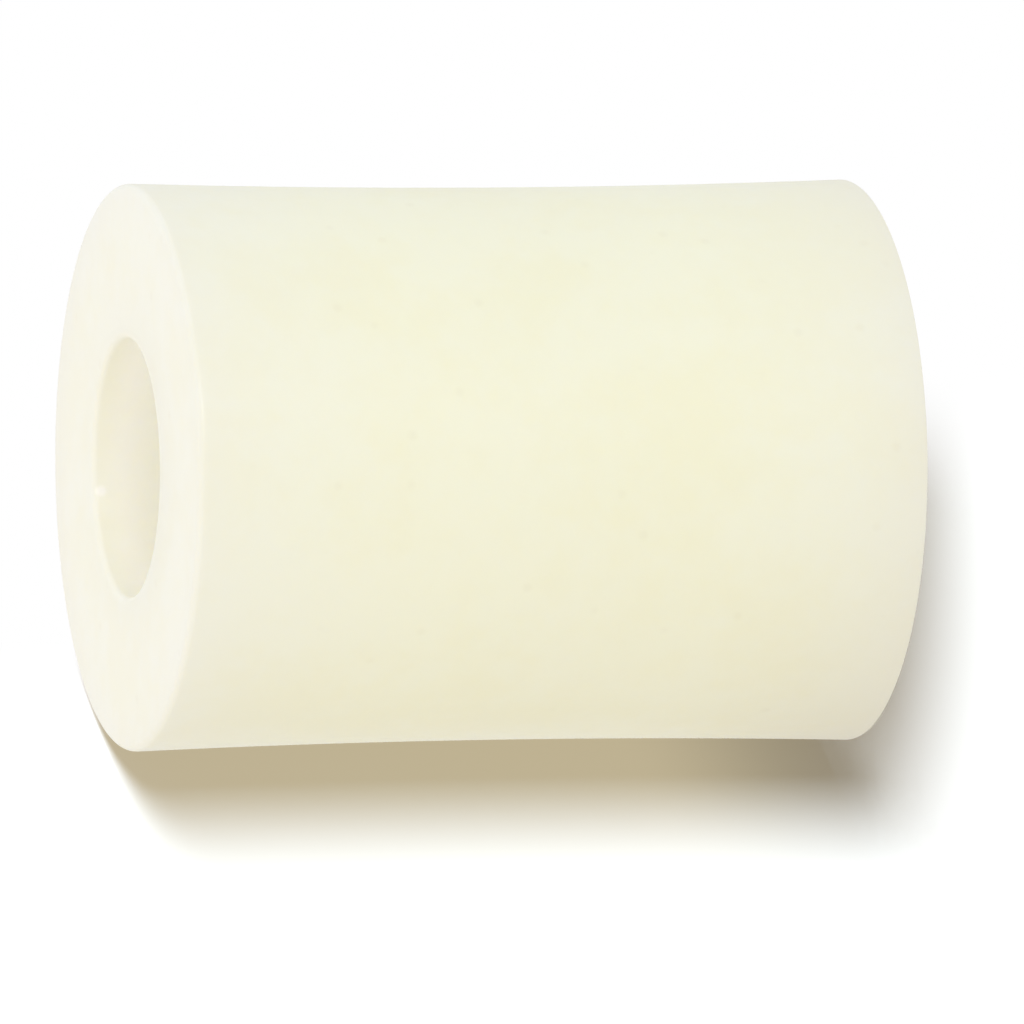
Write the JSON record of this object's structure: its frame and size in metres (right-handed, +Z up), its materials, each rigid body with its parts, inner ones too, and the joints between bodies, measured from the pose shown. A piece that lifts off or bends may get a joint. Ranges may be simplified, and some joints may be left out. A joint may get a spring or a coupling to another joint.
{
  "type": "nylon spacer",
  "caption": "Plain round spacer moulded in natural nylon: a thick-walled tube with flat ends, a straight clearance bore for a screw and a slightly sunken side.",
  "frame": {"origin": "centre of the lower end face, on the bore's axis", "axes": "+Z up along the bore's axis, from the lower end face to the upper one; X and Y lie across it"},
  "size_m": [0.0096, 0.0096, 0.0127],
  "materials": {
    "nylon": "natural unpigmented nylon: off-white, satin and slightly translucent"
  },
  "bodies": {
    "root": {"spacer": "nylon"}
  },
  "joints": []
}
